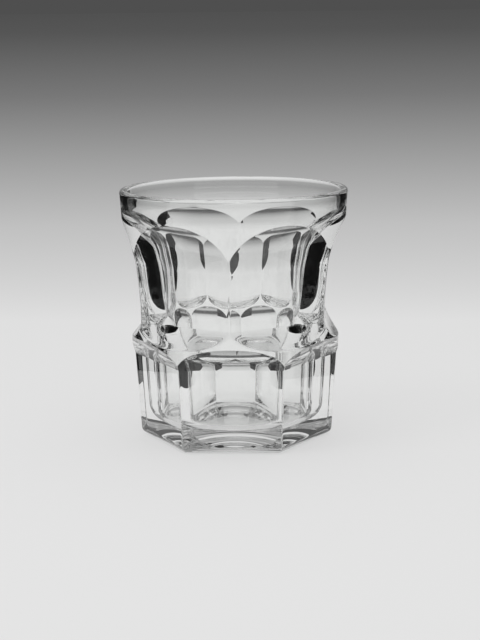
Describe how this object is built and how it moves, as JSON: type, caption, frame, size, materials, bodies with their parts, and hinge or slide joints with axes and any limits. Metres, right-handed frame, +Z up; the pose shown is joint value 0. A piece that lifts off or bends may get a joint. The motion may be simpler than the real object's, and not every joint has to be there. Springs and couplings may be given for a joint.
{
  "type": "cut glass tumbler",
  "caption": "Thick clear glass drinking tumbler: a round rim, arched panels cut round a drawn-in body, and a faceted foot set half a panel round from them.",
  "frame": {"origin": "on the axis, in the plane of the flat ring that the glass stands on", "axes": "+Z up along the glass's axis; -Y is square to the middle of one flat of the foot, so a ridge of the body also faces -Y"},
  "size_m": [0.0806, 0.0806, 0.089],
  "materials": {
    "clear_glass": "fire-polished and cut clear glass, glossy, with faint wear on the ridges and under the foot"
  },
  "bodies": {
    "root": {"tumbler_body": "clear_glass"}
  },
  "joints": []
}
